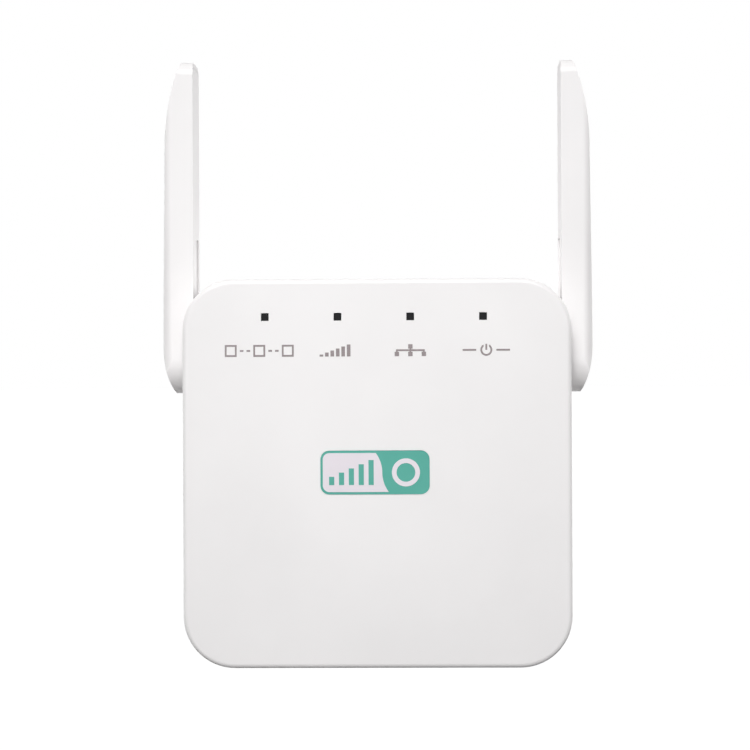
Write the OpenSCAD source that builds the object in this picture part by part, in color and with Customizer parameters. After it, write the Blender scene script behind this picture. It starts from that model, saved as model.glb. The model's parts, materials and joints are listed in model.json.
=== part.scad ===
// Plug-in wifi range extender with two folding antennas.
// Origin: midway between the plug's pins, on the face that meets the wall socket.
// +Z is up, +Y points into the wall and -Y is the side with the status lights. Millimetres.

/* [Front cover] */
// Width of the front cover
body_w = 75; // [73:1:85]
// Height of the front cover
body_h = 75; // [72:1:90]
// Radius of the front cover's four corners
corner_r = 10; // [8.5:0.5:12]
// Radius of the round along the front edge
edge_r = 0.9; // [0.5:0.1:1.3]
// Depth of the front cover
front_depth = 8; // [7:0.5:11]
// Thickness of the front plate
front_wall = 2; // [1.6:0.1:2.4]
// Thickness of the side walls of both covers
side_wall = 1.8; // [1.5:0.1:2]

/* [Rear cover] */
// Depth of the rear cover
rear_depth = 22; // [22:0.5:28]
// Thickness of the rear cover's back wall
rear_wall = 1.8; // [1.6:0.1:2.2]
// How far each side of the rear cover lies inside the side of the front cover
side_inset = 1.7; // [1.4:0.1:2.2]
// How far its top and bottom lie inside the front cover's top and bottom
end_inset = 0.5; // [0.3:0.1:1]
// Radius of the round along the rear edge
rear_edge_r = 1.4; // [0.8:0.1:2]
// Height of the lip that locates the front cover
lip_h = 3; // [2:0.5:4]
// Thickness of the lip
lip_t = 1.2; // [0.9:0.1:1.3]

/* [Status lights] */
// Distance between two neighbouring light windows
window_pitch = 14; // [11:0.5:14]
// Width and height of each square window
window_size = 1.5; // [1.2:0.1:1.9]
// Distance from the top of the front cover down to the windows
window_drop = 7.3; // [7:0.1:8]
// Distance from the windows down to the marks below them
label_drop = 6.5; // [5:0.5:8]
// Height of those marks
label_h = 2.3; // [1.8:0.1:3]

/* [Badge] */
// Width of the badge
badge_w = 21; // [16:0.5:30]
// Height of the badge
badge_h = 8.4; // [7:0.2:12]
// Corner radius of the badge
badge_r = 1.7; // [1:0.1:2.5]

/* [Antennas] */
// Width of an antenna from front to back
antenna_w = 13; // [12:0.5:14]
// Thickness of an antenna from side to side
antenna_t = 6.1; // [5.9:0.1:7.2]
// How far its outer face leans in between the toe and the tip
antenna_draft = 0.5; // [0.1:0.1:0.8]
// Length of an antenna above its hinge axis
antenna_reach = 58.7; // [50:0.5:70]
// Distance from the top of the body down to the hinge axis
hinge_drop = 15.5; // [15.5:0.5:20]
// Radius of the hinge stub
stub_r = 3.5; // [3.2:0.1:3.8]
// Radius of the cable bore through the hinge stub
stub_bore_r = 1.6; // [1.2:0.1:1.8]
// Radial running clearance of the stub in the rear cover
stub_fit = 0.06; // [0.03:0.01:0.09]
// Radius of the aerial cable
coax_r = 0.6; // [0.4:0.05:0.7]

/* [Push button] */
// Distance from the middle of the body to the button
button_x = 14; // [10:0.5:16]
// Width of the button's cap
button_w = 7; // [5:0.5:8]
// Depth of the button's cap
button_d = 3.4; // [2.8:0.1:3.6]
// Travel of the button
button_travel = 0.5; // [0.3:0.1:0.6]

/* [Network socket] */
// Distance from the middle of the body to the socket, to the left
socket_x = 10; // [8.5:0.5:14]
// Width of the socket's opening
port_w = 11.9; // [11.7:0.1:12.2]
// Height of the socket's opening, without the latch slot
port_h = 6.9; // [6.8:0.1:7.1]

/* [Mains plug] */
// Length of the plug's neck from the back of the case to the wall socket
neck_len = 17.5; // [15:0.5:20]
// Width of the neck
neck_w = 35.3; // [32:0.1:36]
// Height of the neck
neck_h = 13.7; // [12:0.1:14.5]
// Distance between the two pins
pin_pitch = 19; // [18:0.2:20]
// Radius of each pin's bare tip
pin_r = 2; // [1.9:0.05:2.4]
// Length of each pin outside the neck
pin_len = 19; // [16:0.5:20]
// Length of the insulating sleeve outside the neck
sleeve_len = 10; // [7:0.5:11]

/* [Hidden] */
$fn = 64;
LEFT = -1;
RIGHT = 1;
cut = 1; // how far a cutting shape runs past the face that it opens
bend_swell = 1.15; // thickness of a wire's bend as a share of the wire's own

// Planes from the wall to the front
rear_y = -neck_len;
rear_inner_y = rear_y - rear_wall;
seam_y = rear_y - rear_depth;
front_y = seam_y - front_depth;
front_inner_y = front_y + front_wall;

// Outlines of the covers
rear_w = body_w - 2 * side_inset;
rear_h = body_h - 2 * end_inset;
rear_corner_r = corner_r - side_inset;
inner_w = rear_w - 2 * side_wall;
inner_h = rear_h - 2 * side_wall;
inner_corner_r = rear_corner_r - side_wall;
lip_fit = 0.2;
lip_root = 2.2;
lip_w = body_w - 2 * (side_wall + lip_fit);
lip_height = body_h - 2 * (side_wall + lip_fit);
lip_corner_r = corner_r - side_wall - lip_fit;

// Main board, on bosses of the front cover
board_seat = 2;
board_t = 1.2;
board_side_room = 4.5;
board_end_room = 1.7;
board_corner_r = 4;
main_front_y = seam_y + board_seat;
main_back_y = main_front_y + board_t;
board_w = inner_w - 2 * board_side_room;
board_h = inner_h - 2 * board_end_room;

// Case screws: each runs through a column of the rear cover and the board into a front boss
case_screw_r = 1.05;
case_head_r = 2.3;
case_head_h = 1.6;
screw_side_in = 3.5;
screw_end_in = 6.5;
screw_baffle_gap = 0.3;
screw_x = board_w / 2 - screw_side_in;
boss_r = 2.6;
column_r = 3.4;
column_floor = 6.3;
screw_room = 0.2;
thread_fit = 0.05;
boss_blind = 1.2;
head_seat_y = main_back_y + column_floor;

// Status lights
window_z = body_h / 2 - window_drop;
window_count = 4;
window_shift = -0.5;
window_fit = 0.05;
guide_recess = 0.15;
guide_bar_t = 1.2;
guide_bar_h = 2;
guide_gap = 0.3;
led_w = 1.6;
led_h = 0.8;
led_t = 0.6;
baffle_rim = 1.25;
baffle_fit = 0.1;
baffle_cell = 2.3;
baffle_cell_depth = 2;
baffle_front_y = front_inner_y + baffle_fit;
guide_bar_depth = 0.7;
guide_bar_y = baffle_front_y + guide_bar_depth;
guide_bar_w = (window_count - 1) * window_pitch + guide_bar_h;
baffle_w = guide_bar_w + 2 * baffle_rim;
baffle_h = guide_bar_h + 2 * baffle_rim;

// The upper case screws lie just below the baffle
screw_low_z = screw_end_in - board_h / 2;
screw_top_z = window_z - baffle_h / 2 - screw_baffle_gap - boss_r;

// Marks printed below the windows
ink_t = 0.04;
ink_line = 0.35;
mark_box = 0.85;
link_len = 3.2;
link_square_count = 3;
rising_bar_count = 6;
branch_reach = 2.6;
ring_dash = 2.6;
ring_dash_gap = 0.8;
label_z = window_z - label_drop;
// Each mark stands a little to one side of its window
mark_shifts = [-1.1, -0.5, 0, 0.6];

// Badge
badge_shift = -0.4;
badge_lift = 0.2;
badge_seat = 0.2;
badge_t = 0.3;
badge_fit = 0.05;
badge_border = 0.45;
film_t = 0.05;
badge_tab_w = 9.1;
badge_wave_r = 6.3;
badge_front_y = front_y + badge_seat - badge_t;
panel_end_x = badge_w / 2 - badge_tab_w;
badge_bar_count = 5;
badge_bar_w = 1;
badge_bar_pitch = 1.9;
badge_bar_low = 1.6;
badge_bar_rise = 0.8;
badge_ring_r = 2.7;
badge_ring_line = 0.9;

// Components on the main board
shield_w = 22;
shield_h = 18;
shield_t = 2.6;
shield_wall = 0.25;
shield_x = -6;
radio_size = 10;
radio_t = 1.1;
memory_x = 14;
memory_w = 8;
memory_h = 6;
memory_t = 1.5;
memory_pitch = 10;
crystal_w = 11;
crystal_h = 4.6;
crystal_t = 3.4;
crystal_gap = 3;
chip_cap_w = 1;
chip_cap_h = 0.6;
chip_cap_t = 0.5;
chip_cap_count = 7;
chip_cap_pitch = 2.6;
chip_cap_gap = 1.6;
lan_w = 12.7;
lan_h = 8;
lan_t = 5.4;
lan_gap = 1.2;
shield_gap = 2.2;

// Network socket, on the rear face of the main board
jack_cheek = 2.05;
jack_floor = 2;
jack_roof = 4.5;
jack_w = port_w + 2 * jack_cheek;
jack_d = jack_floor + port_h + jack_roof;
jack_len = 18;
jack_skin = 0.3;
jack_fit = 0.15;
jack_low_z = -rear_h / 2;
jack_x = -socket_x;
port_front_y = main_back_y + jack_floor;
port_len = 13;
latch_w = 6.6;
latch_d = 1.6;
contact_t = 0.4;
contact_count = 8;
contact_pitch = 1.02;
contact_hole_r = 0.3;
contact_above_port = 1.6;
contact_tip_in = 5.5;
contact_root_z = jack_low_z + port_len + contact_above_port;
contact_tip_z = jack_low_z + contact_tip_in;
lan_z = contact_root_z + lan_gap + lan_h / 2;
crystal_z = lan_z + lan_h / 2 + crystal_gap + crystal_h / 2;
shield_z = crystal_z + crystal_h / 2 + shield_gap + shield_h / 2;
contact_lift = 0.4;
contact_slope = 1;
contact_room = 0.6;
contact_tail = 0.5;

// Push button
button_z = -rear_h / 2;
button_proud = 0.6;
button_fit = 0.15;
button_r = 1.2;
flange_rim = 0.9;
flange_t = 0.85;
flange_play = 0.05;
plunger_r = 1.1;
plunger_fit = 0.05;
plunger_len = 2.8;
switch_w = 6;
switch_d = 4.3;
switch_h = 4.5;
switch_gap = 0.8;
button_y = main_back_y + switch_d / 2;
flange_z = -inner_h / 2 + flange_play;
plunger_z = flange_z + flange_t;
switch_z = plunger_z + button_travel + switch_gap;

// Antennas: their inner face lies beside the rear cover, behind the front cover's rim
antenna_gap = 0.3;
antenna_seam_gap = 0.5;
antenna_edge_r = 1.8;
antenna_tip_r = 2.6;
toe_len = 9.7;
toe_arc_r = 22.5;
tip_len = 17;
tip_arc_r = 46;
shell_side = 1.6;
shell_face = 1.5;
shell_toe_depth = 2.4;
shell_top_room = 6.3;
lid_t = 1.3;
lid_rim = 0.9;
lid_fit = 0.08;
lid_x = rear_w / 2 + antenna_gap;
outer_x = lid_x + antenna_t;
lid_inner_x = lid_x + lid_t;
hinge_y = seam_y + antenna_seam_gap + antenna_w / 2;
hinge_z = body_h / 2 - hinge_drop;
antenna_top_z = hinge_z + antenna_reach;
antenna_low_z = hinge_z - antenna_w / 2;
toe_z = antenna_low_z + toe_len;
tip_z = antenna_top_z - tip_len;
pocket_depth = 0.6;
pocket_side_in = 0.4;
pocket_low = 5;
pocket_high = 24.1;

// Element inside each antenna, clamped between posts
element_t = 0.8;
element_side_room = 0.9;
element_low = 8;
element_top_room = 2;
post_r = 1.2;
post_len = 1.2;
post_low = 16;
post_top = 8;
element_x = lid_inner_x + post_len;
element_mid_x = element_x + element_t / 2;
element_low_z = hinge_z + element_low;
cavity_top_z = tip_z + shell_top_room;

// Antenna hinge
hinge_play = 0.05;
shoulder_r = 5;
ring_r = 5.2;
ring_t = 1;
clip_r = 5;
clip_t = 0.7;
clip_fit = 0.05;
clip_mouth = 3;
groove_depth = 0.8;
stub_tail = 1.2;
ring_x = inner_w / 2 - ring_t;
clip_x = ring_x - hinge_play - clip_t;
groove_x = clip_x - clip_fit;
stub_end_x = groove_x - stub_tail;
groove_r = stub_r - groove_depth;

// Aerial cables inside the case
coax_socket_r = 1.3;
coax_socket_t = 0.6;
coax_plug_r = 1.5;
coax_plug_t = 1.2;
coax_side_in = 5;
coax_run = 1.7;
coax_bend_r = 1.2;
coax_drop = 5;
coax_x = board_w / 2 - coax_side_in;
coax_y = main_back_y + coax_socket_t + coax_plug_t / 2;
coax_z = hinge_z - coax_drop;

// Power board, on posts of the rear cover
power_gap = 2.3;
power_t = 1.6;
power_side_gap = 0.6;
power_top_in = 0.5;
power_back_y = rear_inner_y - power_gap;
power_front_y = power_back_y - power_t;
power_w = 2 * (screw_x - column_r - power_side_gap);
power_top_z = board_h / 2 - power_top_in;
power_post_r = 2;
power_post_in = 3;
power_post_gap = 1.1;
neck_flange_rim = 2;
flange_w = neck_w + 2 * neck_flange_rim;
flange_h = neck_h + 2 * neck_flange_rim;
power_low_z = -(flange_h / 2 + power_post_gap + power_post_r + power_post_in);
power_post_x = power_w / 2 - power_post_in;
power_post_low_z = power_low_z + power_post_in;
power_post_top_z = power_top_z - power_post_in;
board_screw_r = 0.9;
board_screw_len = 4.4;
board_head_r = 1.9;
board_head_h = 1.2;
board_hole_r = 1.1;

// Mains parts on the power board, each from its front face
trafo_w = 16;
trafo_h = 14;
trafo_core_t = 6;
trafo_leg = 3.6;
trafo_side_leg = 2;
trafo_yoke = 2.5;
trafo_bobbin_d = 11.5;
trafo_bobbin_wall = 0.8;
trafo_flange_t = 0.9;
trafo_fit = 0.1;
trafo_wind_w = 10.6;
trafo_wind_d = 10.4;
trafo_wind_r = 2;
trafo_top_in = 6;
trafo_z = power_top_z - trafo_top_in - trafo_h / 2;
trafo_y = power_front_y - trafo_bobbin_d / 2;
trafo_window_h = trafo_h - 2 * trafo_yoke;
big_cap_r = 4;
big_cap_len = 12;
big_cap_side_in = 5;
big_cap_top_in = 10;
big_cap_pitch = 9.5;
big_cap_edge_r = 0.6;
out_cap_side_in = 4.6;
trafo_x = (big_cap_side_in - out_cap_side_in) / 2;
out_cap_top_in = 11;
out_cap_len = 11;
choke_r = 3;
choke_len = 8;
choke_waist_r = 2.4;
choke_end = 1;
choke_z = 3.4;
fuse_r = 1.5;
fuse_len = 8;
fuse_x = -4;
fuse_z = -6.6;
lead_r = 0.3;
lead_out = 1;
rectifier_w = 6.4;
rectifier_h = 4.6;
rectifier_t = 2.6;
rectifier_z = -5;
driver_w = 5;
driver_h = 4;
driver_t = 1.6;
driver_side_in = 5.5;
driver_z = 9;
safety_r = 4;
safety_t = 3.2;
safety_x = 4.5;
safety_z = 5;
safety_lift = 1.2;
diode_r = 1.35;
diode_len = 5.2;
diode_z = 3.4;

// Header between the two boards
header_count = 4;
header_pitch = 2.54;
header_size = 2.5;
header_pin = 0.64;
header_hole_r = 0.5;
header_tail = 0.8;
header_x = 6;
header_z = power_post_low_z;
header_w = header_count * header_pitch;

// Sheet that insulates the main board from the mains side
sheet_t = 0.25;
sheet_room = 0.5;
sheet_slot_room = 0.8;

// Mains plug
neck_wall = 2;
neck_face = 2.5;
neck_fit = 0.1;
tower_r = 3.2;
pin_core_r = 1.25;
sleeve_r = 1.65;
sleeve_seat = 1;
pin_tip_round = 0.9;
pin_tail_r = 0.75;
pin_tail_fit = 0.1;
pin_tail_out = 1.2;
pin_x = pin_pitch / 2;

// Vents and rating label
vent_count = 8;
vent_pitch = 3;
vent_h = 1.4;
vent_len = 11;
vent_top_z = 6;
vent_back_in = 3;
vent_y = rear_inner_y - vent_back_in;
label_w = 32;
label_plate_h = 11;
label_plate_t = 0.1;
label_plate_in = 15;

function row(i, count, pitch) = (i - (count - 1) / 2) * pitch;
function mark_x(i) = row(i, window_count, window_pitch) + mark_shifts[i];

// ---- shapes ----

// Box centred on x and z, from y back to y + d
module box_at(x, y, z, w, d, h) translate([x - w / 2, y, z - h / 2]) cube([w, d, h]);

// Rods along each axis: from y back, from x to the right, from z up
module rod_y(x, y, z, r, len) translate([x, y + len, z]) rotate([90, 0, 0]) cylinder(h = len, r = r);
module rod_x(x, y, z, r, len) translate([x, y, z]) rotate([0, 90, 0]) cylinder(h = len, r = r);
module rod_z(x, y, z, r, len) translate([x, y, z]) cylinder(h = len, r = r);

// Draws an outline in x and z, and gives it the depth d from y back
module slab_y(y, d) translate([0, y + d, 0]) rotate([90, 0, 0]) linear_extrude(d) children();

// Draws an outline in y and z around the hinge axis, and gives it the width w from x to the right
module slab_x(x, w) translate([x, hinge_y, hinge_z]) rotate([90, 0, 90]) linear_extrude(w) children();

module rounded_rect(w, h, r) {
    square([w - 2 * r, h], center = true);
    square([w, h - 2 * r], center = true);
    for (x = [-1, 1], z = [-1, 1]) translate([x * (w / 2 - r), z * (h / 2 - r)]) circle(r);
}

// Oblong with half-round ends
module stadium(w, h) {
    square([w - h, h], center = true);
    for (x = [-1, 1]) translate([x * (w - h) / 2, 0]) circle(h / 2);
}

// Half of a section whose outer top corner is rounded
module round_top_section(half_w, depth, edge) {
    square([half_w, depth - edge]);
    square([half_w - edge, depth]);
    translate([half_w - edge, depth - edge]) circle(edge);
}

// Bar with both long top edges rounded
module round_top_bar(w, len, depth, edge) {
    rotate([90, 0, 0]) translate([0, 0, -len / 2]) linear_extrude(len) {
        round_top_section(w / 2, depth, edge);
        mirror([1, 0]) round_top_section(w / 2, depth, edge);
    }
}

// Rounded block whose top edge is rounded all the way round
module soft_block(w, h, r, depth, edge) {
    round_top_bar(w, h - 2 * r, depth, edge);
    rotate([0, 0, 90]) round_top_bar(h, w - 2 * r, depth, edge);
    for (x = [-1, 1], z = [-1, 1]) {
        translate([x * (w / 2 - r), z * (h / 2 - r), 0]) {
            rotate_extrude() round_top_section(r, depth, edge);
        }
    }
}

// Wire through a list of points, a little thicker where it bends
module wire(points, r) {
    for (i = [0 : len(points) - 2]) {
        span = points[i + 1] - points[i];
        reach = norm(span);
        translate(points[i]) rotate([0, acos(span[2] / reach), atan2(span[1], span[0])]) {
            cylinder(h = reach, r = r);
        }
        if (i > 0) translate(points[i]) sphere(r * bend_swell);
    }
}

// The right-hand part, or its mirror image on the left
module sided(side) {
    if (side == RIGHT) children();
    else mirror([1, 0, 0]) children();
}

module at_case_screws() {
    for (x = [-screw_x, screw_x], z = [screw_low_z, screw_top_z]) translate([x, 0, z]) children();
}

module at_power_posts() {
    for (x = [-power_post_x, power_post_x], z = [power_post_low_z, power_post_top_z]) {
        translate([x, 0, z]) children();
    }
}

module at_windows() {
    for (i = [0 : window_count - 1]) {
        translate([window_shift + row(i, window_count, window_pitch), 0, 0]) children();
    }
}

module at_pins() {
    for (x = [-pin_x, pin_x]) translate([x, 0, 0]) children();
}

// ---- covers ----

module front_cover() {
    boss_len = main_front_y - front_inner_y;
    color("white") {
        difference() {
            translate([0, seam_y, 0]) rotate([90, 0, 0]) {
                soft_block(body_w, body_h, corner_r, front_depth, edge_r);
            }
            slab_y(front_inner_y, front_depth) {
                rounded_rect(body_w - 2 * side_wall, body_h - 2 * side_wall, corner_r - side_wall);
            }
            at_windows() {
                box_at(0, front_y - cut, window_z, window_size, front_wall + 2 * cut, window_size);
            }
            slab_y(front_y - cut, cut + badge_seat) translate([badge_shift, badge_lift]) {
                rounded_rect(badge_w + 2 * badge_fit, badge_h + 2 * badge_fit, badge_r + badge_fit);
            }
        }
        at_case_screws() {
            difference() {
                rod_y(0, front_inner_y, 0, boss_r, boss_len);
                rod_y(0, front_inner_y + boss_blind, 0, case_screw_r + thread_fit, boss_len);
            }
        }
    }
}

module rear_cover() {
    color("white") {
        difference() {
            union() {
                difference() {
                    translate([0, seam_y, 0]) rotate([-90, 0, 0]) {
                        soft_block(rear_w, rear_h, rear_corner_r, rear_depth, rear_edge_r);
                    }
                    slab_y(seam_y - cut, rear_depth - rear_wall + cut) {
                        rounded_rect(inner_w, inner_h, inner_corner_r);
                    }
                }
                slab_y(seam_y - lip_h, lip_h + lip_root) {
                    difference() {
                        rounded_rect(lip_w, lip_height, lip_corner_r);
                        rounded_rect(lip_w - 2 * lip_t, lip_height - 2 * lip_t, lip_corner_r - lip_t);
                    }
                }
                at_case_screws() rod_y(0, main_back_y, 0, column_r, rear_inner_y - main_back_y);
                at_power_posts() rod_y(0, power_back_y, 0, power_post_r, power_gap);
            }
            at_case_screws() {
                rod_y(0, main_back_y - cut, 0, case_screw_r + screw_room, column_floor + 2 * cut);
                rod_y(0, head_seat_y, 0, case_head_r + screw_room, rear_y - head_seat_y + cut);
            }
            at_power_posts() {
                rod_y(0, power_back_y - cut, 0, board_screw_r + thread_fit,
                    board_screw_len - power_t + cut);
            }
            slab_y(rear_inner_y - cut, rear_wall + 2 * cut) {
                stadium(neck_w + 2 * neck_fit, neck_h + 2 * neck_fit);
            }
            for (side = [LEFT, RIGHT]) sided(side) {
                rod_x(inner_w / 2 - cut, hinge_y, hinge_z, stub_r + stub_fit, side_wall + 2 * cut);
            }
            rear_cover_vents();
            jack_cutout();
            translate([0, 0, button_z - cut]) linear_extrude(side_wall + 2 * cut) {
                translate([button_x, button_y]) {
                    rounded_rect(button_w + 2 * button_fit, button_d + 2 * button_fit,
                        button_r + button_fit);
                }
            }
        }
    }
}

module rear_cover_vents() {
    for (i = [0 : vent_count - 1]) {
        box_at(0, vent_y - vent_len, vent_top_z - i * vent_pitch, rear_w + 2 * cut, vent_len, vent_h);
        box_at(row(i, vent_count, vent_pitch), vent_y - vent_len, inner_h / 2, vent_h, vent_len,
            2 * (side_wall + cut));
    }
}

module jack_cutout() {
    box_at(jack_x, main_back_y - jack_fit, jack_low_z, jack_w + 2 * jack_fit, jack_d + 2 * jack_fit,
        2 * (side_wall + cut));
}

// ---- status lights, marks and badge ----

module light_guide() {
    guide = window_size - 2 * window_fit;
    guide_front_y = front_y + guide_recess;
    guide_len = main_front_y - led_t - guide_gap - guide_front_y;
    color("dimgray") {
        at_windows() {
            box_at(0, guide_front_y, window_z, guide, guide_len, guide);
        }
        box_at(window_shift, guide_bar_y, window_z, guide_bar_w, guide_bar_t, guide_bar_h);
    }
}

module light_baffle() {
    well = window_size + 2 * window_fit;
    bar_back_y = guide_bar_y + guide_bar_t;
    color("black") {
        difference() {
            box_at(window_shift, baffle_front_y, window_z, baffle_w,
                main_front_y - baffle_front_y, baffle_h);
            box_at(window_shift, baffle_front_y - cut, window_z, guide_bar_w + 2 * window_fit,
                bar_back_y - baffle_front_y + cut, guide_bar_h + 2 * window_fit);
            at_windows() {
                box_at(0, baffle_front_y, window_z, well, main_front_y - baffle_front_y + cut, well);
                box_at(0, main_front_y - baffle_cell_depth, window_z, baffle_cell,
                    baffle_cell_depth + cut, baffle_cell);
            }
        }
    }
}

module status_leds() {
    color("palegreen") at_windows() box_at(0, main_front_y - led_t, window_z, led_w, led_t, led_h);
}

// Four plain marks: linked squares, rising bars, a branching net and a ring between two dashes
module status_labels() {
    color("gray") {
        slab_y(front_y - ink_t, ink_t) translate([window_shift, label_z]) {
            translate([mark_x(0), 0]) linked_squares_mark();
            translate([mark_x(1), 0]) rising_bars_mark();
            translate([mark_x(2), 0]) branch_mark();
            translate([mark_x(3), 0]) ring_mark();
        }
    }
}

module open_square_mark(size) {
    difference() {
        square(size, center = true);
        square(size - 2 * ink_line, center = true);
    }
}

module linked_squares_mark() {
    pitch = link_len + label_h;
    for (i = [0 : link_square_count - 1]) {
        translate([row(i, link_square_count, pitch), 0]) open_square_mark(label_h);
    }
    for (i = [0 : link_square_count - 2]) {
        for (x = [-1, 1]) translate([row(i, link_square_count - 1, pitch) + x * link_len / 5, 0]) {
            square([2 * ink_line, ink_line], center = true);
        }
    }
}

module rising_bars_mark() {
    pitch = 3 * ink_line;
    for (i = [0 : rising_bar_count - 1]) {
        translate([row(i, rising_bar_count, pitch) - ink_line, -label_h / 2]) {
            square([2 * ink_line, label_h * (i + 1) / rising_bar_count]);
        }
    }
}

module branch_mark() {
    box_z = (label_h - mark_box) / 2;
    translate([-ink_line / 2, 0]) square([ink_line, box_z]);
    translate([0, box_z]) square(mark_box, center = true);
    for (x = [-branch_reach, 0, branch_reach]) {
        translate([x - ink_line / 2, -box_z]) square([ink_line, box_z]);
        translate([x, -box_z]) square(mark_box, center = true);
    }
    square([2 * branch_reach + ink_line, ink_line], center = true);
}

module ring_mark() {
    difference() {
        circle(label_h / 2);
        circle(label_h / 2 - ink_line);
        translate([0, label_h / 2]) square([3 * ink_line, label_h], center = true);
    }
    translate([0, label_h / 4]) square([ink_line, label_h / 2], center = true);
    for (x = [-1, 1]) translate([x * (label_h / 2 + ring_dash_gap + ring_dash / 2), 0]) {
        square([ring_dash, ink_line], center = true);
    }
}

module badge_plate() {
    color("mediumseagreen") {
        slab_y(badge_front_y, badge_t) translate([badge_shift, badge_lift]) {
            rounded_rect(badge_w, badge_h, badge_r);
        }
    }
}

// Left part of the badge, ended by a wave: an arc outwards above the middle and inwards below it
module badge_left_part() {
    translate([panel_end_x - badge_w, 0]) square([badge_w - badge_wave_r, badge_h / 2]);
    intersection() {
        translate([panel_end_x - badge_wave_r, 0]) circle(badge_wave_r);
        translate([panel_end_x - badge_w, 0]) square([badge_w, badge_h / 2]);
    }
    difference() {
        translate([panel_end_x - badge_w, -badge_h / 2]) square([badge_w + badge_wave_r, badge_h / 2]);
        translate([panel_end_x + badge_wave_r, 0]) circle(badge_wave_r);
    }
}

// Pale film on the left of the badge, and a plain pale ring on its right
module badge_panel() {
    ring_x = (panel_end_x + badge_w / 2) / 2;
    color("whitesmoke") {
        slab_y(badge_front_y - film_t, film_t) translate([badge_shift, badge_lift]) {
            intersection() {
                rounded_rect(badge_w - 2 * badge_border, badge_h - 2 * badge_border,
                    badge_r - badge_border);
                badge_left_part();
            }
            translate([ring_x, 0]) {
                difference() {
                    circle(badge_ring_r);
                    circle(badge_ring_r - badge_ring_line);
                }
            }
        }
    }
}

module badge_bars() {
    panel_mid_x = (panel_end_x - badge_w / 2) / 2;
    tallest = badge_bar_low + (badge_bar_count - 1) * badge_bar_rise;
    first_x = panel_mid_x - badge_bar_w / 2;
    color("mediumseagreen") {
        slab_y(badge_front_y - 2 * film_t, film_t) translate([badge_shift, badge_lift]) {
            for (i = [0 : badge_bar_count - 1]) {
                translate([first_x + row(i, badge_bar_count, badge_bar_pitch), -tallest / 2]) {
                    square([badge_bar_w, badge_bar_low + i * badge_bar_rise]);
                }
            }
        }
    }
}

// ---- main board ----

module main_board() {
    color("darkgreen") {
        difference() {
            slab_y(main_front_y, board_t) rounded_rect(board_w, board_h, board_corner_r);
            at_case_screws() rod_y(0, main_front_y - cut, 0, case_screw_r + screw_room, board_t + 2 * cut);
            at_header_pins() rod_y(0, main_front_y - cut, 0, header_hole_r, board_t + 2 * cut);
            at_contacts() rod_y(0, main_front_y - cut, contact_root_z, contact_hole_r, board_t + 2 * cut);
        }
    }
}

module shield_can() {
    color("silver") {
        difference() {
            box_at(shield_x, main_front_y - shield_t, shield_z, shield_w, shield_t, shield_h);
            box_at(shield_x, main_front_y - shield_t + shield_wall, shield_z, shield_w - 2 * shield_wall,
                shield_t, shield_h - 2 * shield_wall);
        }
    }
}

module radio_chip() {
    color("black") box_at(shield_x, main_front_y - radio_t, shield_z, radio_size, radio_t, radio_size);
}

module memory_chips() {
    color("black") {
        for (i = [0, 1]) {
            box_at(memory_x, main_front_y - memory_t, shield_z + row(i, 2, memory_pitch), memory_w, memory_t,
                memory_h);
        }
    }
}

module crystal_can() {
    color("silver") {
        translate([shield_x, 0, crystal_z]) {
            slab_y(main_front_y - crystal_t, crystal_t) stadium(crystal_w, crystal_h);
        }
    }
}

module chip_capacitors() {
    cap_z = shield_z + shield_h / 2 + chip_cap_gap;
    color("tan") {
        for (i = [0 : chip_cap_count - 1]) {
            box_at(shield_x + row(i, chip_cap_count, chip_cap_pitch), main_front_y - chip_cap_t, cap_z,
                chip_cap_w, chip_cap_t, chip_cap_h);
        }
    }
}

module lan_transformer() {
    color("black") {
        box_at(jack_x, main_front_y - lan_t, lan_z, lan_w, lan_t, lan_h);
    }
}

// ---- network socket ----

module at_contacts() {
    for (i = [0 : contact_count - 1]) {
        translate([jack_x + row(i, contact_count, contact_pitch), 0, 0]) children();
    }
}

module jack_body(skin) {
    translate([jack_x - jack_w / 2 + skin, main_back_y, jack_low_z]) {
        cube([jack_w - 2 * skin, jack_d - skin, jack_len - skin]);
    }
}

module network_shell() {
    color("silver") {
        difference() {
            jack_body(0);
            translate([0, -cut, -cut]) jack_body(jack_skin);
            jack_body(jack_skin);
            translate([0, 0, -cut]) jack_body(jack_skin);
            translate([0, -cut, 0]) jack_body(jack_skin);
        }
    }
}

module network_insert() {
    root_w = contact_count * contact_pitch + 2 * contact_room;
    latch_y = port_front_y + port_h;
    port_z = jack_low_z - cut;
    root_low_z = jack_low_z + port_len - contact_room;
    color("dimgray") {
        difference() {
            jack_body(jack_skin);
            translate([jack_x - port_w / 2, port_front_y, port_z]) cube([port_w, port_h, port_len + cut]);
            translate([jack_x - latch_w / 2, latch_y - cut, port_z]) {
                cube([latch_w, latch_d + cut, port_len + cut]);
            }
            translate([jack_x - root_w / 2, main_back_y - cut, root_low_z]) {
                cube([root_w, port_front_y - main_back_y + contact_lift + 2 * contact_room + cut,
                    contact_root_z + contact_room - root_low_z]);
            }
        }
    }
}

// Flat strips: each comes straight out of the board, then slopes down into the opening
module network_contacts() {
    start_y = main_front_y - contact_tail;
    bend_y = port_front_y + contact_lift;
    tip_y = bend_y + contact_slope;
    root_z = contact_root_z - contact_t / 2;
    color("gold") {
        at_contacts() {
            translate([-contact_t / 2, 0, 0]) rotate([90, 0, 90]) linear_extrude(contact_t) {
                polygon([
                    [start_y, root_z], [bend_y, root_z], [tip_y, contact_tip_z],
                    [tip_y + contact_t, contact_tip_z], [bend_y + contact_t, root_z + contact_t],
                    [start_y, root_z + contact_t]
                ]);
            }
        }
    }
}

// ---- push button ----

module button_cap() {
    color("whitesmoke") {
        translate([button_x, button_y, button_z - button_proud]) {
            linear_extrude(flange_z - button_z + button_proud) rounded_rect(button_w, button_d, button_r);
        }
        translate([button_x, button_y, flange_z]) {
            linear_extrude(flange_t) {
                rounded_rect(button_w + 2 * flange_rim, button_d + 2 * flange_rim, button_r);
            }
        }
    }
}

module button_plunger() {
    color("black") rod_z(button_x, button_y, plunger_z, plunger_r, plunger_len);
}

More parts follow.
